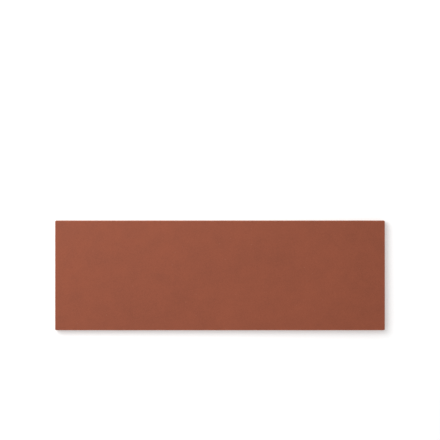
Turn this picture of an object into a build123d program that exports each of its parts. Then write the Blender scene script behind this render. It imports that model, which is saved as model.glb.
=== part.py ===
"""Brick-format wall tile: one slab of pressed and fired clay.

The face is plain and flat, and its edge is eased all round. Below the face the sides stand upright, and then
lean in towards the back, so that the pressing leaves its die. The back is keyed: a grid of shallow recesses
with ribs between them grips the adhesive.

The tile lies on its back, with its length along X. The ribs and the rim of the back are at z = 0, the face is
at the top, and the origin is the middle of the back. Lengths are in millimetres and angles in degrees.
"""

import os
from math import radians, tan

from build123d import *

# Overall size
TILE_LENGTH = 300.0
TILE_WIDTH = 100.0
TILE_THICKNESS = 8.0

# Edges
CORNER_RADIUS = 1.2  # the four upright corners, seen from the face
FACE_ARRIS_RADIUS = 0.8  # rounding of the edge round the face
EDGE_LAND = 2.5  # upright band below that rounding, where the tile is at its full size
EDGE_DRAFT = 4.0  # lean of the sides from the land to the back
BACK_CHAMFER = 0.5  # broken edge round the back

# Keyed back
RECESSES_ALONG = 13
RECESSES_ACROSS = 4
BACK_RIM = 5.0  # plain border round the grid of recesses
RIB_WIDTH = 3.0  # flat top of the rib between two recesses
RECESS_DEPTH = 0.8
RECESS_DRAFT = 35.0  # lean of a recess's walls, from upright
RECESS_CORNER_RADIUS = 2.5

# Worked out from the sizes above
land_foot = TILE_THICKNESS - FACE_ARRIS_RADIUS - EDGE_LAND
back_setback = land_foot * tan(radians(EDGE_DRAFT)) + BACK_CHAMFER


def recess_mouth(tile_size, count):
    """Size of one recess, when so many of them and the ribs between them fill the back inside its rim."""
    grid_size = tile_size - 2 * (back_setback + BACK_RIM)
    return (grid_size - (count - 1) * RIB_WIDTH) / count


recess_length = recess_mouth(TILE_LENGTH, RECESSES_ALONG)
recess_width = recess_mouth(TILE_WIDTH, RECESSES_ACROSS)
recess_pitch_along = recess_length + RIB_WIDTH
recess_pitch_across = recess_width + RIB_WIDTH

# The stud of the die that presses one recess: it tapers from the mouth to the floor
with BuildPart() as recess_stud:
    with BuildSketch():
        RectangleRounded(recess_length, recess_width, RECESS_CORNER_RADIUS)
    extrude(amount=RECESS_DEPTH, taper=RECESS_DRAFT)

with BuildPart() as tile:
    # The slab grows both ways from the foot of its upright land, where it is at its full size
    with BuildSketch(Plane.XY.offset(land_foot)) as outline:
        RectangleRounded(TILE_LENGTH, TILE_WIDTH, CORNER_RADIUS)
    extrude(amount=EDGE_LAND + FACE_ARRIS_RADIUS)
    extrude(outline.sketch, amount=-land_foot, taper=EDGE_DRAFT)

    # Eased edge round the face, broken edge round the back
    fillet(tile.faces().sort_by(Axis.Z)[-1].edges(), radius=FACE_ARRIS_RADIUS)
    chamfer(tile.faces().sort_by(Axis.Z)[0].edges(), length=BACK_CHAMFER)

    # Grid of recesses pressed into the back
    with GridLocations(recess_pitch_along, recess_pitch_across, RECESSES_ALONG, RECESSES_ACROSS):
        add(recess_stud.part, mode=Mode.SUBTRACT)

tile.part.label = "tile"

os.makedirs("parts", exist_ok=True)
export_step(tile.part, "parts/tile.step")

print(f"tile {tile.part.bounding_box().size}, volume {tile.part.volume:.0f} mm3")
print(f"recess {recess_length:.2f} x {recess_width:.2f}, {RECESSES_ALONG * RECESSES_ACROSS} in all")
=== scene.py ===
# %% [markdown]
# This lesson dresses one plain clay tile in a long brick format. The real tile is a single slab of
# clay, pressed in a steel die and fired, so there is one piece to make, and all the work goes into its
# edges and its finish. A cube with a Bevel modifier would come near, but it could not lean the sides or
# key the back, so the surfaces are worked out as arrays. The frame already holds the tile at its true
# size.

import bpy
import numpy as np
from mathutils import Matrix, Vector


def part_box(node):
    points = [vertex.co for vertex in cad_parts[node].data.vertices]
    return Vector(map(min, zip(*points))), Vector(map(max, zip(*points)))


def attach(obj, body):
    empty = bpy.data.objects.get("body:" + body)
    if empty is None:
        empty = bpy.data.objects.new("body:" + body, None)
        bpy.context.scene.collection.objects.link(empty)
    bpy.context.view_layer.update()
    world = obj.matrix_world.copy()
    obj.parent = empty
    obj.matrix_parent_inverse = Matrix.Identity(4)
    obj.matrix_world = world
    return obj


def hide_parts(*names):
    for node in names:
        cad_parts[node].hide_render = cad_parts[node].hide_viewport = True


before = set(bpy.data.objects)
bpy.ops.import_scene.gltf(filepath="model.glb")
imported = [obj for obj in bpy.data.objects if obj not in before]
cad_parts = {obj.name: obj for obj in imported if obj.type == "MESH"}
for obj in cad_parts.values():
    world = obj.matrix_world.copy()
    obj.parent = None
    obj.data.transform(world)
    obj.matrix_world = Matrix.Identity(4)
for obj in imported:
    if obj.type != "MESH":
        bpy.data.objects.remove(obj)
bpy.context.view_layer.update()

# %% [markdown]
# A pressed tile has few sizes of its own. Length, width and thickness could be typed in again, but they
# are read from the frame, so that they stay those of the solid. The die gives the rest: a rounded arris
# round the face, an upright land below it, sides that lean in towards the back so that the pressing
# lets go, and a broken edge round the back.

# %% Sizes of the slab and its edge
MM = 0.001
CORNER_RADIUS = 1.2 * MM
ARRIS_RADIUS = 0.8 * MM
LAND_HEIGHT = 2.5 * MM
SIDE_LEAN = np.radians(4.0)
BACK_CHAMFER = 0.5 * MM

tile_low, tile_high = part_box("tile")
tile_size = np.array((tile_high - tile_low).xy)
thickness = tile_high.z - tile_low.z
land_top = thickness - ARRIS_RADIUS
land_foot = land_top - LAND_HEIGHT
back_setback = land_foot * np.tan(SIDE_LEAN) + BACK_CHAMFER
print(f"tile of {(tile_size / MM).round(2)} by {thickness / MM:.2f} mm")
print(f"back set in by {back_setback / MM:.3f} mm")

# %% [markdown]
# The back is keyed: shallow recesses with ribs between them give the adhesive something to grip. A
# Boolean modifier could cut them out, but it leaves long thin faces that shade badly. So a recess with
# half a rib round it is a cell with a grid of its own, and the cells repeat inside a plain rim. A recess
# is as large as the rim and the ribs leave room for.

# %% Sizes of the keyed back
RECESS_COUNT = np.array([13, 4])
BACK_RIM = 5.0 * MM
RIB_WIDTH = 3.0 * MM
RECESS_DEPTH = 0.8 * MM
RECESS_LEAN = np.radians(35.0)
RECESS_CORNER = 2.5 * MM

keyed_size = tile_size - 2 * (back_setback + BACK_RIM)
recess_size = (keyed_size - (RECESS_COUNT - 1) * RIB_WIDTH) / RECESS_COUNT
cell_size = recess_size + RIB_WIDTH
print(f"recess of {(recess_size / MM).round(2)} mm in a cell of {(cell_size / MM).round(2)} mm")

# %% [markdown]
# Nearly every outline here is a rounded rectangle: the face, the rings of the edge, and the recesses. A
# Bevel modifier on a box would round it, but leaves long thin faces. Instead each shape is a grid of
# lines whose outer lines are bent round the corners. A line has two numbers. Its core is where it
# crosses the rectangle of the four corner centres, and its swing, from -1 to 1, is how far out it lies
# on the corner's arc. A grid with no straight part shows that this works: its outline is a circle.


# %% Grids with rounded corners
def bent_lines(inner_lines, corner_steps):
    """Cores and swings along one axis: the inner lines, which do not swing, and then equal steps of swing
    at each end, with the core held at the last inner line."""
    steps = np.arange(1, corner_steps + 1) / corner_steps
    core = np.pad(inner_lines, corner_steps, mode="edge")
    swing = np.concatenate([-steps[::-1], np.zeros(len(inner_lines)), steps])
    return core, swing


def rounded_grid(lines_along, lines_across, radius):
    """Points of a filled rounded rectangle. With swings s and t, x is its core plus r s sqrt(1 - t t / 2)
    and y is its core plus r t sqrt(1 - s s / 2), so that the outer lines, where s or t is 1, lie on the
    corner's arc."""
    core_x, s = (values[:, None] for values in lines_along)
    core_y, t = (values[None, :] for values in lines_across)
    x = core_x + radius * s * np.sqrt(1 - t * t / 2)
    y = core_y + radius * t * np.sqrt(1 - s * s / 2)
    return np.stack([x, y], axis=-1)


def loop_round(grid):
    """The outer points of a grid, once round it, anticlockwise seen from above."""
    return np.concatenate([grid[:-1, 0], grid[-1, :-1], grid[:0:-1, -1], grid[0, :0:-1]])


def outline_of(lines_along, lines_across):
    """A path and its outward steps: the loop of any rounded rectangle on these lines is the path plus its
    radius times the outward steps."""
    path = loop_round(rounded_grid(lines_along, lines_across, 0.0))
    return path, loop_round(rounded_grid(lines_along, lines_across, 1.0)) - path


all_corner = bent_lines(np.zeros(1), corner_steps=2)
circle = loop_round(rounded_grid(all_corner, all_corner, 1.0))
print("outer points of an all-corner grid lie from its middle:", np.hypot(*circle.T).round(6))

# %% [markdown]
# The face and the back share one set of lines, so that the edge between them is a plain strip of quads.
# Evenly spaced lines would cut across the recesses, so the cells space them: each cell has its own few,
# repeated from cell to cell, and the rim adds some more.

# %% Lines of a cell and of the whole tile
CELL_STRAIGHT_STEPS = 5
CELL_CORNER_STEPS = 4
RIM_STEPS = 3
TILE_CORNER_STEPS = 4


def cell_lines(axis):
    """Lines of one recess: straight between its corner arcs, then swinging round them."""
    half = recess_size[axis] / 2 - RECESS_CORNER
    return bent_lines(np.linspace(-half, half, CELL_STRAIGHT_STEPS + 1), CELL_CORNER_STEPS)


def tile_lines(axis):
    """Lines of the tile: those of every cell, carried on to the cell's own sides, then those of the rim
    and of the corners."""
    core, swing = cell_lines(axis)
    across_cell = core + swing * (cell_size[axis] / 2 - core.max())
    centres = (np.arange(RECESS_COUNT[axis]) - (RECESS_COUNT[axis] - 1) / 2) * cell_size[axis]
    in_cells = np.append((centres[:, None] + across_cell[:-1]).ravel(), centres[-1] + across_cell[-1])
    rim_end = tile_size[axis] / 2 - CORNER_RADIUS
    rim = np.linspace(in_cells[-1], rim_end, RIM_STEPS + 1)[1:]
    return bent_lines(np.concatenate([-rim[::-1], in_cells, rim]), TILE_CORNER_STEPS)


lines_along = tile_lines(0)
lines_across = tile_lines(1)
edge_path, edge_outward = outline_of(lines_along, lines_across)
print(len(lines_along[0]), "lines along and", len(lines_across[0]), "across")
print(len(edge_path), "points round the edge")

# %% [markdown]
# A surface becomes a patch: its points, its quads, the finish that it wears, and its place on a flat
# sheet, as if the tile were unrolled like the lid of a paper box. Each could be an object, joined by
# Blender later, but arrays are joined in a few lines and can be counted and tested on the way. So the
# patches go into a list.

# %% Patches
FACE, SIDE, BACK = range(3)
patches = []


def quads(rows, columns, closed):
    """Corner numbers of a grid's quads. A quad faces along the cross product of the step to the next row
    and the step to the next column. A closed grid joins its last column to its first."""
    number = np.arange(rows * columns).reshape(rows, columns)
    beside = np.roll(number, -1, axis=1)
    around = np.stack([number[:-1], number[1:], beside[1:], beside[:-1]], axis=-1)
    return around if closed else around[:, :-1]


def add_patch(plan, height, sheet, finish, arris=0.0, closed=False, downward=False, keep=None):
    """Adds a grid of points, or several like grids at once. Its last axes are rows, columns and x, y. A
    downward patch has its quads turned over, and keep, if given, says which quads stay."""
    height, arris = (np.broadcast_to(values, plan.shape[:-1]) for values in (height, arris))
    rows, columns = plan.shape[-3:-1]
    found = quads(rows, columns, closed)
    found = found[keep] if keep is not None else found.reshape(-1, 4)
    found = found[:, ::-1] if downward else found
    copies = np.arange(plan[..., 0].size // (rows * columns)) * rows * columns
    patches.append({
        "points": np.concatenate([plan, height[..., None]], axis=-1).reshape(-1, 3),
        "sheet": np.broadcast_to(sheet, plan.shape).reshape(-1, 2),
        "arris": arris.ravel(),
        "quads": (copies[:, None, None] + found).reshape(-1, 4),
        "finish": finish,
    })
    print("patch of", len(patches[-1]["quads"]), "quads")


# %% [markdown]
# No fired face is dead flat. This one has a swell of a few hundredths of a millimetre, which a low light
# just picks up. A noise texture could bump it, but a bump would not reach the mesh, so the swell is a sum
# of plane waves with seeded directions. It only goes down from the die's plane, and fades out towards the
# arris.

# %% The face
FACE_SWELL = 0.05 * MM
FACE_SWELL_LENGTH = 38.0 * MM
SWELL_FADE = 9.0 * MM
WAVE_COUNT = 9
WAVE_LENGTHS = (0.7, 1.4)


def slow_waves(plan, length, seed):
    """A gentle random field from 0 to 1: half plus half the mean of sin(k . p + phase) over plane waves,
    whose directions, phases and lengths, as shares of the given one, come from a seeded generator."""
    draw = np.random.default_rng(seed)
    heading = draw.uniform(0, 2 * np.pi, WAVE_COUNT)
    number = 2 * np.pi / (length * draw.uniform(*WAVE_LENGTHS, WAVE_COUNT))
    phase = draw.uniform(0, 2 * np.pi, WAVE_COUNT)
    waves = np.sin(plan @ (number * np.stack([np.cos(heading), np.sin(heading)])) + phase)
    return 0.5 + 0.5 * waves.mean(axis=-1)


def ease(share):
    """Smooth step from 0 to 1: 3 s s - 2 s s s, with s held between 0 and 1."""
    share = np.clip(share, 0, 1)
    return share * share * (3 - 2 * share)


face_radius = CORNER_RADIUS - ARRIS_RADIUS
face_plan = rounded_grid(lines_along, lines_across, face_radius)
from_edge = (tile_size / 2 - ARRIS_RADIUS - np.abs(face_plan)).min(axis=-1)
face_dip = FACE_SWELL * slow_waves(face_plan, FACE_SWELL_LENGTH, seed=3) * ease(from_edge / SWELL_FADE)
add_patch(face_plan, thickness - face_dip, face_plan, FACE)
print(f"face dips by up to {face_dip.max() / MM:.3f} mm")

# %% [markdown]
# The edge is what shows that the tile was pressed. A Bevel modifier would round the arris, but it knows
# no land and no lean, so the edge is a profile carried round the outline. A profile point is how far it
# lies inside the full outline and how high it is. It goes from the face over the arris, down the land and
# the leaning side, and under the chamfer, whose two corners the firing has rounded off.

# %% The profile of the edge
ARRIS_STEPS = 8
LAND_STEPS = 3
LEAN_STEPS = 4
CHAMFER_STEPS = 6
CHAMFER_SOFTNESS = 0.3 * MM

chamfer_top = BACK_CHAMFER * np.cos(SIDE_LEAN)
back_inset = back_setback + CHAMFER_SOFTNESS


def lean_inset(height):
    """How far the leaning side lies inside the outline: its drop below the land times the tangent of its
    lean."""
    return (land_foot - height) * np.tan(SIDE_LEAN)


def bezier(points, steps):
    """Points along the cubic curve u u u A + 3 u u s B + 3 u s s C + s s s D, with u = 1 - s, after its
    start."""
    s = np.linspace(0, 1, steps + 1)[1:, None]
    a, b, c, d = np.array(points)
    return (1 - s) ** 3 * a + 3 * (1 - s) ** 2 * s * b + 3 * (1 - s) * s**2 * c + s**3 * d


def edge_profile():
    """Insets and heights: a quarter circle, at r (1 - sin a) and z - r (1 - cos a), then the upright
    land, the lean, and last a Bezier curve from the lean to the back, drawn towards the two corners of
    the chamfer."""
    turn = np.linspace(0, np.pi / 2, ARRIS_STEPS + 1)
    arris = [ARRIS_RADIUS * (1 - np.sin(turn)), thickness - ARRIS_RADIUS * (1 - np.cos(turn))]
    land = np.linspace(land_top, land_foot, LAND_STEPS + 1)[1:]
    lean_foot = chamfer_top + CHAMFER_SOFTNESS
    lean = np.linspace(land_foot, lean_foot, LEAN_STEPS + 1)[1:]
    lean_end = lean_inset(lean_foot), lean_foot
    chamfer_corners = (lean_inset(chamfer_top), chamfer_top), (back_setback, 0)
    under = bezier([lean_end, *chamfer_corners, (back_inset, 0)], CHAMFER_STEPS)
    stretches = arris, [0 * land, land], [lean_inset(lean), lean], under.T
    return np.concatenate(stretches, axis=1)


inset, edge_height = edge_profile()
unrolled = np.append(0, np.hypot(np.diff(inset), np.diff(edge_height)).cumsum())
print(f"profile of {len(inset)} points is {unrolled[-1] / MM:.2f} mm long")

# %% [markdown]
# A real edge is never quite straight. Moving the points at random would only roughen it, so the middle of
# the profile wavers inwards in slow waves, by a few hundredths of a millimetre. The arris wears the
# face's finish and the rest the sides', so the rings are added as two patches. Each arris point keeps how
# far it has turned over, from 0 at the face to 1 at the land.

# %% The edge
EDGE_WAVER = 0.06 * MM
EDGE_WAVER_LENGTH = 45.0 * MM

ring = np.arange(len(inset))
turned = np.minimum(ring / ARRIS_STEPS, 1.0)[:, None]
waver = EDGE_WAVER * slow_waves(edge_path, EDGE_WAVER_LENGTH, seed=8)
waver = waver * np.sin(np.pi * ring / ring[-1])[:, None]
edge_reach = (CORNER_RADIUS - inset)[:, None] - waver
edge_plan = edge_path + edge_reach[..., None] * edge_outward
edge_sheet = edge_path + (face_radius + unrolled)[:, None, None] * edge_outward

arris_rings = slice(0, ARRIS_STEPS + 1)
side_rings = slice(ARRIS_STEPS, None)
for rings, finish in ((arris_rings, FACE), (side_rings, SIDE)):
    ring_height = edge_height[rings, None]
    add_patch(edge_plan[rings], ring_height, edge_sheet[rings], finish, turned[rings], closed=True)
print(f"edge wavers by up to {waver.max() / MM:.3f} mm")

# %% [markdown]
# The back has a rim and a field of recesses. The rim is a flat frame, and could be built from four
# strips, but it has to meet the edge and the cells point for point. So it is the grid of the whole tile
# without the quads of the field. Pressed clay is never smooth behind, so the whole back is slightly
# uneven. On the flat sheet the back is mirrored, because it is seen from below.

# %% The rim of the back
BACK_SWELL = 0.05 * MM
BACK_SWELL_LENGTH = 14.0 * MM


def roughened(plan, height):
    """Height of the back plus its unevenness, which only goes up, and fades out at the outer edge."""
    inside = (tile_size / 2 - back_inset - np.abs(plan)).min(axis=-1)
    return height + BACK_SWELL * slow_waves(plan, BACK_SWELL_LENGTH, seed=5) * ease(inside / BACK_RIM)


mirrored = np.array([1, -1])
rim_plan = rounded_grid(lines_along, lines_across, CORNER_RADIUS - back_inset)
in_rim = np.ones(np.subtract(rim_plan.shape[:2], 1), dtype=bool)
rim_quads = TILE_CORNER_STEPS + RIM_STEPS
in_rim[rim_quads:-rim_quads, rim_quads:-rim_quads] = False
add_patch(rim_plan, roughened(rim_plan, 0.0), rim_plan * mirrored, BACK, downward=True, keep=in_rim)

# %% [markdown]
# A cell is a set of rings, from the middle of the rib over the mouth and down the wall, with a small grid
# for its floor. The first ring is square: there a line's swing carries it on to the cell's side. Copies
# of one cell could be placed by an Array modifier, but adding all the centres to one cell's points gives
# the whole field at once. Pressed clay keeps no sharp edge, so the wall follows a smooth step.

# %% The recesses
WALL_STEPS = 7
WALL_SOFTNESS = 0.12 * MM

cell_numbers = np.stack(np.meshgrid(*(np.arange(n) for n in RECESS_COUNT), indexing="ij"), axis=-1)
cell_centres = ((cell_numbers - (RECESS_COUNT - 1) / 2) * cell_size).reshape(-1, 1, 1, 2)
recess_lines = cell_lines(0), cell_lines(1)
recess_path, recess_outward = outline_of(*recess_lines)
swings = np.stack(np.meshgrid(recess_lines[0][1], recess_lines[1][1], indexing="ij"), axis=-1)
cell_side = recess_path + loop_round(swings) * (cell_size / 2 - np.abs(recess_path).max(axis=0))

share = np.linspace(0, 1, WALL_STEPS + 1)
wall_run = RECESS_DEPTH * np.tan(RECESS_LEAN)
wall_inset = share * (wall_run + 2 * WALL_SOFTNESS) - WALL_SOFTNESS
wall_plan = recess_path + (RECESS_CORNER - wall_inset)[:, None, None] * recess_outward
ring_plan = np.concatenate([cell_side[None], wall_plan]) + cell_centres
ring_height = np.append(0.0, RECESS_DEPTH * ease(share))[:, None]
add_patch(ring_plan, roughened(ring_plan, ring_height), ring_plan * mirrored, BACK, closed=True)

floor_plan = rounded_grid(*recess_lines, RECESS_CORNER - wall_inset[-1]) + cell_centres
add_patch(floor_plan, roughened(floor_plan, RECESS_DEPTH), floor_plan * mirrored, BACK, downward=True)

# %% [markdown]
# Patches that meet have the same points along their seam. Blender's Merge by Distance would weld them.
# Here each such point gets one number, found by rounding the places to a tenth of a micrometre, and the
# result is tested. A closed mesh has every edge on two quads, and its volume, a sum of small pyramids
# from the origin, is positive if the faces point outwards.

# %% Join the patches
WELD = 1e-7

starts = np.cumsum([0] + [len(patch["points"]) for patch in patches])
points = np.concatenate([patch["points"] for patch in patches])
sheet = np.concatenate([patch["sheet"] for patch in patches])
arris = np.concatenate([patch["arris"] for patch in patches])
corners = np.concatenate([patch["quads"] + start for patch, start in zip(patches, starts)])
finishes = np.concatenate([np.full(len(patch["quads"]), patch["finish"]) for patch in patches])

used = np.unique(corners)
rounded = np.round(points[used] / WELD)
_, first, same = np.unique(rounded, axis=0, return_index=True, return_inverse=True)
welded_number = np.zeros(len(points), dtype=int)
welded_number[used] = same.ravel()
welded = points[used][first]
faces = welded_number[corners]

steps = np.stack([faces, np.roll(faces, -1, axis=1)], axis=-1).reshape(-1, 2)
_, times = np.unique(np.sort(steps, axis=1), axis=0, return_counts=True)
a, b, c, d = (welded[faces[:, corner]] for corner in range(4))
volume = np.einsum("ij,ij->i", a, np.cross(b, c) + np.cross(c, d)).sum() / 6
print(f"{len(welded)} points, {len(faces)} quads, {(times != 2).sum()} open edges")
print(f"volume of {volume / MM**3:.0f} mm3")

# %% [markdown]
# A mesh could be filled point by point, which is slow. foreach_set takes each array whole. The flat sheet
# becomes the UV map, with the lid below and the back above it, so that no two faces share a place on it.
# Each point also carries its turn over the arris, for the face's finish to read.

# %% Make the mesh
SHEET_GAP = 5.0 * MM

lid_size = tile_size - 2 * ARRIS_RADIUS + 2 * unrolled[-1]
sheet_size = np.array([lid_size[0], lid_size[1] + tile_size[1] + SHEET_GAP]) + 2 * SHEET_GAP
lid_centre = np.array([sheet_size[0] / 2, SHEET_GAP + lid_size[1] / 2])
back_centre = np.array([sheet_size[0] / 2, sheet_size[1] - SHEET_GAP - tile_size[1] / 2])
on_back = (finishes == BACK)[:, None, None]
flat_places = (sheet[corners] + np.where(on_back, back_centre, lid_centre)) / sheet_size

mesh = bpy.data.meshes.new("clay_tile")
mesh.vertices.add(len(welded))
mesh.vertices.foreach_set("co", welded.ravel())
mesh.loops.add(faces.size)
mesh.loops.foreach_set("vertex_index", faces.ravel())
mesh.polygons.add(len(faces))
mesh.polygons.foreach_set("loop_start", np.arange(0, faces.size, 4))
mesh.polygons.foreach_set("material_index", finishes)
mesh.update(calc_edges=True)
mesh.uv_layers.new(name="OFBake").uv.foreach_set("vector", flat_places.ravel())
mesh.attributes.new("arris", "FLOAT", "POINT").data.foreach_set("value", arris[used][first])
mesh.shade_smooth()
print("mesh changed by validate:", mesh.validate(), "triangles:", 2 * len(mesh.polygons))

# %% [markdown]
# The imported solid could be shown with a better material, but it has neither the swell nor the softened
# edges. So the new tile stands for it, which hides it, and rides on the frame's only body.

# %% Put the tile on the frame
tile = bpy.data.objects.new("clay_tile", mesh)
bpy.context.scene.collection.objects.link(tile)
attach(tile, "root")
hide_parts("tile")
print(tile.name, "stands for the packed tile")

# %% [markdown]
# Fired clay is one colour only from afar. Near to, its tone drifts in soft clouds, and fine grains lie in
# it. Such a finish could be painted as a picture, but nodes have no pixels and no seams, so nodes work it
# out. Two helpers keep that short: one adds a node and sets or links its inputs, and one adds a sum.


# %% Helpers for nodes
def place(tree, kind, inputs, **settings):
    """Adds a node with its settings. Each input, by name or number, is linked if it is given a socket,
    and otherwise set."""
    made = tree.nodes.new(kind)
    for name, value in settings.items():
        setattr(made, name, value)
    for name, value in inputs.items():
        if isinstance(value, bpy.types.NodeSocket):
            tree.links.new(value, made.inputs[name])
        else:
            made.inputs[name].default_value = value
    return made


def maths(tree, operation, first, second):
    """The result of one sum on two values."""
    return place(tree, "ShaderNodeMath", {0: first, 1: second}, operation=operation).outputs[0]


# %% [markdown]
# The tile is pressed from a powder of small granules, each fired a little lighter or darker than the
# next, and over them the tone drifts slowly. Noise alone would only blur the granules. A Voronoi pattern
# has cells with one random colour each, so it gives the granules, and noise gives the drift: a broad
# cloud and a finer mottle.

# %% Tone and granules
CLOUD_LENGTH = 60.0 * MM
CLOUD_SHARE = 0.35
MOTTLE_LENGTH = 12.0 * MM
GRANULE_SIZE = 0.4 * MM


def noise(tree, vector, length, detail):
    """Soft noise round 0.5, whose features are about that long, in metres."""
    inputs = {"Vector": vector, "Scale": 1 / length, "Detail": detail}
    return place(tree, "ShaderNodeTexNoise", inputs).outputs["Fac"]


def grains(tree, vector, spacing):
    """A Voronoi pattern: how far a point is from the middle of its grain, in spacings, and two random
    values of the grain."""
    found = place(tree, "ShaderNodeTexVoronoi", {"Vector": vector, "Scale": 1 / spacing}).outputs
    values = place(tree, "ShaderNodeSeparateColor", {"Color": found["Color"]}).outputs
    return found["Distance"], values["Red"], values["Green"]


def centred(tree, value, amount):
    """A value from 0 to 1, moved to lie round 0 and scaled: amount times (value - 1/2)."""
    return maths(tree, "MULTIPLY", maths(tree, "SUBTRACT", value, 0.5), amount)


def toned(tree, given):
    """The clay's colour, its tone and the height of its granules. The tone is a share of cloud and the
    rest mottle, the brightness is 1 + drift (tone - 1/2) + granules (granule - 1/2), and the height is
    1 less the distance from a granule's middle."""
    cloud = noise(tree, given["Vector"], CLOUD_LENGTH, detail=1.0)
    mottle = noise(tree, given["Vector"], MOTTLE_LENGTH, detail=3.0)
    broad = maths(tree, "MULTIPLY", cloud, CLOUD_SHARE)
    tone = maths(tree, "ADD", broad, maths(tree, "MULTIPLY", mottle, 1 - CLOUD_SHARE))
    from_granule, granule, _ = grains(tree, given["Vector"], GRANULE_SIZE)
    drifted = maths(tree, "ADD", centred(tree, tone, given["Drift"]), 1.0)
    brightness = maths(tree, "ADD", drifted, centred(tree, granule, given["Granules"]))
    clay = place(tree, "ShaderNodeHueSaturation", {"Value": brightness, "Color": given["Clay"]})
    return clay.outputs["Color"], tone, maths(tree, "SUBTRACT", 1.0, from_granule)


# %% [markdown]
# Specks of sand lie between the granules. They could be small pieces of mesh, but these would be far too
# many. A wider Voronoi pattern has room for one grain in each cell. Few of them show, as dark or pale
# specks: each cell draws a chance and a size, so no two are alike.

# %% Specks of sand
SAND_SPACING = 2.4 * MM
DARK_SHARE = 0.10
PALE_SHARE = 0.08
SPECK_RADII = (0.03, 0.20)
SPECK_RIM = (1.0, 0.5)
DARK_SAND = (0.105, 0.030, 0.018, 1.0)
PALE_SAND = (0.520, 0.260, 0.180, 1.0)


def spread(tree, value, given, wanted=(0.0, 1.0)):
    """A value moved from the given range to the wanted one along a smooth step, and held at the ends."""
    ranges = {"From Min": given[0], "From Max": given[1], "To Min": wanted[0], "To Max": wanted[1]}
    inputs = {"Value": value, **ranges}
    return place(tree, "ShaderNodeMapRange", inputs, interpolation_type="SMOOTHSTEP").outputs["Result"]


def blended(tree, share, under, over):
    """Two colours mixed by a share from 0 to 1."""
    mixed = place(tree, "ShaderNodeMix", {0: share, 6: under, 7: over}, data_type="RGBA")
    return mixed.outputs[2]


def sanded(tree, given, clay):
    """The clay's colour with its sand, and a mask of the dark specks. A speck fills in from its rim, at a
    radius that its size sets. It is dark where the chance is low and pale where it is high."""
    from_speck, chance, size = grains(tree, given["Vector"], SAND_SPACING)
    radius = spread(tree, size, (0.0, 1.0), SPECK_RADII)
    inside = spread(tree, maths(tree, "DIVIDE", from_speck, radius), SPECK_RIM)
    speck = maths(tree, "MULTIPLY", inside, given["Sand"])
    dark = maths(tree, "MULTIPLY", speck, maths(tree, "LESS_THAN", chance, DARK_SHARE))
    pale = maths(tree, "MULTIPLY", speck, maths(tree, "GREATER_THAN", chance, 1 - PALE_SHARE))
    return blended(tree, pale, blended(tree, dark, clay, DARK_SAND), PALE_SAND), dark


# %% [markdown]
# The face, the sides and the back share all this, each with its own strengths. The nodes could be
# repeated in three materials, but a node group is built once, and its inputs say how strong each effect
# is. It puts out a colour, the tone for the roughness to follow, and a height for the bump: the granules'
# rounded tops less the dark specks, which are sunk.

# %% The grain of fired clay
GRAIN_INPUTS = {
    "Vector": "NodeSocketVector",
    "Clay": "NodeSocketColor",
    "Drift": "NodeSocketFloat",
    "Granules": "NodeSocketFloat",
    "Sand": "NodeSocketFloat",
}
GRAIN_OUTPUTS = {"Color": "NodeSocketColor", "Tone": "NodeSocketFloat", "Height": "NodeSocketFloat"}


def make_clay_grain():
    """Builds the group: its sockets, then the toned clay, the sand over it, and the links out."""
    group = bpy.data.node_groups.new("clay_grain", "ShaderNodeTree")
    for in_out, sockets in (("INPUT", GRAIN_INPUTS), ("OUTPUT", GRAIN_OUTPUTS)):
        for name, kind in sockets.items():
            group.interface.new_socket(name, in_out=in_out, socket_type=kind)
    given = group.nodes.new("NodeGroupInput").outputs
    result = group.nodes.new("NodeGroupOutput").inputs
    clay, tone, tops = toned(group, given)
    clay, sunk = sanded(group, given, clay)
    group.links.new(clay, result["Color"])
    group.links.new(tone, result["Tone"])
    group.links.new(maths(group, "SUBTRACT", tops, sunk), result["Height"])
    return group


clay_grain = make_clay_grain()
print("clay_grain has", len(clay_grain.nodes), "nodes")

# %% [markdown]
# The face, the sides and the back are the same clay in three states. One material could mix all three by
# masks, but three short ones are easier to read. Each places the group with its own values and keeps the
# Principled BSDF to itself. Clay is matt and only faintly glossy, so the specular level is low.

# %% A clay material to start from
CLAY_SPECULAR = 0.20
TONE_RANGE = (0.3, 0.7)


def new_clay(name):
    """A material for the tile's next finish. Returns its tree, the place on the tile and the shader."""
    material = bpy.data.materials.new(name)
    material.use_nodes = True
    tree = material.node_tree
    shader = tree.nodes["Principled BSDF"].inputs
    shader["Specular IOR Level"].default_value = CLAY_SPECULAR
    tile.data.materials.append(material)
    return tree, place(tree, "ShaderNodeTexCoord", {}).outputs["Object"], shader


def grained(tree, here, clay, drift, granules, sand):
    """The outputs of the grain group, for one state of the clay."""
    inputs = {"Vector": here, "Clay": clay, "Drift": drift, "Granules": granules, "Sand": sand}
    return place(tree, "ShaderNodeGroup", inputs, node_tree=clay_grain).outputs


def finish_clay(tree, shader, colour, roughness, height, depth):
    """Feeds the shader's colour and roughness, and its normal from a bump of that depth, in metres."""
    bump = place(tree, "ShaderNodeBump", {"Height": height, "Distance": depth})
    tree.links.new(colour, shader["Base Color"])
    tree.links.new(roughness, shader["Roughness"])
    tree.links.new(bump.outputs["Normal"], shader["Normal"])
    print("finish of", len(tree.nodes), "nodes")
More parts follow.
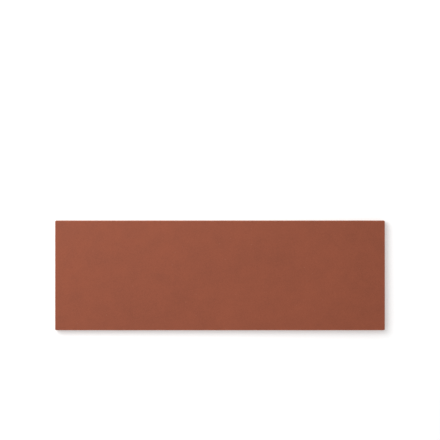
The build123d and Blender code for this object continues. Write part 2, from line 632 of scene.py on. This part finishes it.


# %% [markdown]
# The face is the smoothest of the three: pressed tight, even in tone, and matt with a soft sheen under a
# low light. Over the arris its fire skin gives way to the paler clay of the sides. The crest of the
# arris, halfway round, is painted paler still, as a fine line round the tile: partly its skin rubbed
# thin, and partly a painted highlight, standing in for the light that the rounded edge catches. A Bevel
# node could find the edge, but the mesh already carries the turn over the arris, from 0 to 1. Both masks
# come from it, made ragged by noise. With turn t, the crest is 4 t (1 - t).

# %% The face's finish
FACE_CLAY = (0.274, 0.072, 0.036, 1.0)
SIDE_CLAY = (0.360, 0.124, 0.071, 1.0)
# The crest's pale colour is partly clay rubbed thin and partly a painted highlight on the rounded edge.
WORN_AND_HIGHLIGHT_CLAY = (0.440, 0.172, 0.106, 1.0)
FACE_GRAIN = {"drift": 0.35, "granules": 0.18, "sand": 0.22}
FACE_ROUGHNESS = (0.54, 0.61)
FACE_BUMP = 0.018 * MM
RAGGED_LENGTH = 3.0 * MM
RAGGED_NOISE = (0.2, 0.8)
RAGGED_REACH = (0.7, 1.3)
BARED_TURN = (0.0, 0.7)
WORN_AND_HIGHLIGHT_CREST = (0.3, 1.0)

tree, here, shader = new_clay("clay_face")
turn = place(tree, "ShaderNodeAttribute", {}, attribute_name="arris").outputs["Fac"]
ragged = spread(tree, noise(tree, here, RAGGED_LENGTH, detail=2.0), RAGGED_NOISE, RAGGED_REACH)
bared = spread(tree, maths(tree, "MULTIPLY", turn, ragged), BARED_TURN)
rise = maths(tree, "MULTIPLY", turn, 4.0)
crest = maths(tree, "MULTIPLY", rise, maths(tree, "SUBTRACT", 1.0, turn))
# This paints the crest of the arris paler: partly wear, partly a painted highlight.
worn_and_highlight = spread(tree, maths(tree, "MULTIPLY", crest, ragged), WORN_AND_HIGHLIGHT_CREST)
clay = blended(tree, worn_and_highlight, blended(tree, bared, FACE_CLAY, SIDE_CLAY), WORN_AND_HIGHLIGHT_CLAY)
grain = grained(tree, here, clay, **FACE_GRAIN)
roughness = spread(tree, grain["Tone"], TONE_RANGE, FACE_ROUGHNESS)
finish_clay(tree, shader, grain["Color"], roughness, grain["Height"], FACE_BUMP)

# %% [markdown]
# The sides slid up the die. The land above was pressed against it longest: it is denser, with finer grain
# and faint upright drag marks, and it keeps a little of the face's red. The leaning part below is drier
# and coarser. Two materials could part them, but would meet in a hard line, so a mask by height does. The
# pairs named LAND go from the leaning part to the land. The drag marks are noise that is squeezed along
# Z: they are many times as tall as they are wide.

# %% The sides' finish
SIDE_GRAIN = {"drift": 0.60, "sand": 0.30}
SIDE_ROUGHNESS = (0.60, 0.74)
SIDE_BUMP = 0.02 * MM
LAND_BLUR = 0.4 * MM
LAND_RED = (0.0, 0.3)
LAND_GRANULES = (0.20, 0.10)
LAND_DRYNESS = (0.10, 0.0)
DRAG_WIDTH = 0.7 * MM
DRAG_SQUEEZE = (1.0, 1.0, 0.08)
DRAG_NOISE = (0.3, 0.7)
DRAG_DEPTH = 2.0

tree, here, shader = new_clay("clay_side")
height = place(tree, "ShaderNodeSeparateXYZ", {"Vector": here}).outputs["Z"]
land_band = (land_foot - LAND_BLUR, land_foot + LAND_BLUR)
red = spread(tree, height, land_band, LAND_RED)
granules = spread(tree, height, land_band, LAND_GRANULES)
dryness = spread(tree, height, land_band, LAND_DRYNESS)
squeezed = place(tree, "ShaderNodeMapping", {"Vector": here, "Scale": DRAG_SQUEEZE}).outputs["Vector"]
drag = noise(tree, squeezed, DRAG_WIDTH, detail=2.0)
clay = blended(tree, red, SIDE_CLAY, FACE_CLAY)
grain = grained(tree, here, clay, granules=granules, **SIDE_GRAIN)
roughness = maths(tree, "ADD", spread(tree, drag, DRAG_NOISE, SIDE_ROUGHNESS), dryness)
dragged = maths(tree, "ADD", grain["Height"], maths(tree, "MULTIPLY", drag, DRAG_DEPTH))
finish_clay(tree, shader, grain["Color"], roughness, dragged, SIDE_BUMP)

# %% [markdown]
# The back is the roughest. On its way through the kiln it lay on rollers, and a thin pale wash that keeps
# it from sticking is left in patches on the ribs, which are what touched them. It could be painted by
# hand, but the ribs are what lies lowest, so its mask is low height, broken up by noise.

# %% The back's finish
BACK_CLAY = (0.350, 0.126, 0.074, 1.0)
BACK_GRAIN = {"drift": 0.80, "granules": 0.24, "sand": 0.60}
BACK_ROUGHNESS = (0.80, 0.95)
BACK_BUMP = 0.04 * MM
KILN_WASH = (0.560, 0.400, 0.320, 1.0)
WASH_LENGTH = 9.0 * MM
WASH_HEIGHTS = (0.30 * MM, 0.08 * MM)
WASH_NOISE = (0.42, 0.72)
WASH_COVER = (0.0, 0.6)

tree, here, shader = new_clay("clay_back")
grain = grained(tree, here, BACK_CLAY, **BACK_GRAIN)
height = place(tree, "ShaderNodeSeparateXYZ", {"Vector": here}).outputs["Z"]
on_rib = spread(tree, height, WASH_HEIGHTS)
patchy = spread(tree, noise(tree, here, WASH_LENGTH, detail=4.0), WASH_NOISE, WASH_COVER)
washed = blended(tree, maths(tree, "MULTIPLY", on_rib, patchy), grain["Color"], KILN_WASH)
roughness = spread(tree, grain["Tone"], TONE_RANGE, BACK_ROUGHNESS)
finish_clay(tree, shader, washed, roughness, grain["Height"], BACK_BUMP)

# %% [markdown]
# The tile lies on a plain white sheet. A curved backdrop could rise behind it, but a sheet that runs far
# past the picture is simpler, and looks the same from all sides.

# %% White floor
FLOOR_HALF = 6.0
FLOOR_DROP = 0.02 * MM

floor_corners = np.array([[-1, -1, 0], [1, -1, 0], [1, 1, 0], [-1, 1, 0]]) * FLOOR_HALF
floor_mesh = bpy.data.meshes.new("floor")
floor_mesh.from_pydata(floor_corners - [0, 0, FLOOR_DROP], [], [range(4)])
floor = bpy.data.objects.new("floor", floor_mesh)
bpy.context.scene.collection.objects.link(floor)
print("floor is", 2 * FLOOR_HALF, "m wide")

# %% [markdown]
# The sheet has to look white. More lamps would whiten it, but would bleach the tile too. So rays from the
# camera, and those that glossy or clear things send out, see it glow a little, while its diffuse part
# keeps the tile's soft shadow. The lamp's light weakens with distance, so the glow grows with distance
# and makes up for it.

# %% The floor's glow
WHITE = (1.0, 1.0, 1.0, 1.0)
FLOOR_WHITE = (0.86, 0.86, 0.86, 1.0)
GLOW_REACH = (0.15, 0.80)
GLOW = (0.30, 0.63)


def seen_ray(tree):
    """1 for a ray from the camera or from something glossy or clear, and 0 for one that gathers light."""
    rays = place(tree, "ShaderNodeLightPath", {}).outputs
    seen = maths(tree, "MAXIMUM", rays["Is Camera Ray"], rays["Is Glossy Ray"])
    return maths(tree, "MAXIMUM", seen, rays["Is Transmission Ray"])


floor_material = bpy.data.materials.new("white_sheet")
floor_material.use_nodes = True
tree = floor_material.node_tree
shader = tree.nodes["Principled BSDF"].inputs
shader["Base Color"].default_value = FLOOR_WHITE
shader["Specular IOR Level"].default_value = 0.0
shader["Emission Color"].default_value = WHITE
here = place(tree, "ShaderNodeTexCoord", {}).outputs["Object"]
away = place(tree, "ShaderNodeVectorMath", {0: here}, operation="LENGTH").outputs["Value"]
glow = spread(tree, away, GLOW_REACH, GLOW)
tree.links.new(maths(tree, "MULTIPLY", seen_ray(tree), glow), shader["Emission Strength"])
floor_mesh.materials.append(floor_material)
print("floor glows from", GLOW[0], "at the tile to", GLOW[1], "far out")

# %% [markdown]
# Past the floor is a white room. A dome or a picture of a studio could give it, but a plain world is
# enough. The same rays see it white, and for the rest it is a dim fill light from all sides.

# %% White room
SKY_FILL = 0.50
SKY_SEEN = 1.0

world = bpy.data.worlds.new("white_room")
world.use_nodes = True
tree = world.node_tree
background = tree.nodes["Background"].inputs
background["Color"].default_value = WHITE
lift = maths(tree, "MULTIPLY", seen_ray(tree), SKY_SEEN - SKY_FILL)
tree.links.new(maths(tree, "ADD", lift, SKY_FILL), background["Strength"])
bpy.context.scene.world = world
print("room lights the tile at", SKY_FILL, "and shows at", SKY_SEEN)

# %% [markdown]
# A sun lamp would light every part of the face alike. One large softbox near the tile, to its upper left,
# lets the light fade from left to right, and its broad, faint reflection is the face's sheen. The room
# gives about half of the light and the softbox the rest, so that a colour renders about as it is written.

# %% Softbox
SOFTBOX_AT = Vector((-0.30, 0.32, 0.62))
SOFTBOX_SIZE = 0.60
SOFTBOX_WATTS = 4.25

lamp = bpy.data.lights.new("softbox", "AREA")
lamp.shape = "SQUARE"
lamp.size = SOFTBOX_SIZE
lamp.energy = SOFTBOX_WATTS
softbox = bpy.data.objects.new("softbox", lamp)
softbox.location = SOFTBOX_AT
softbox.rotation_euler = (-SOFTBOX_AT).to_track_quat("-Z", "Y").to_euler()
softbox.visible_camera = False
bpy.context.scene.collection.objects.link(softbox)
print(f"softbox stands {SOFTBOX_AT.length:.2f} m away")

# %% [markdown]
# The camera looks straight down through a long lens. An orthographic camera would do so too, but a lens
# keeps a trace of depth, as a photograph does. In the picture, which is square, the tile takes up three
# quarters of the width and lies below the middle, so the camera stands over the tile's far long edge.

# %% Camera
PICTURE_PIXELS = 440
TILE_PIXELS = 330
TILE_MIDDLE_PIXEL = 275.4
CAMERA_RISE = 1.5

pixel = tile_size[0] / TILE_PIXELS
lens = bpy.data.cameras.new("camera")
lens.lens = lens.sensor_width * CAMERA_RISE / (pixel * PICTURE_PIXELS)
camera = bpy.data.objects.new("camera", lens)
camera.location = (0.0, (TILE_MIDDLE_PIXEL - PICTURE_PIXELS / 2) * pixel, thickness + CAMERA_RISE)
bpy.context.scene.collection.objects.link(camera)
bpy.context.scene.camera = camera
bpy.context.scene.view_settings.view_transform = "Standard"
print(f"lens of {lens.lens:.0f} mm at", list(camera.location))
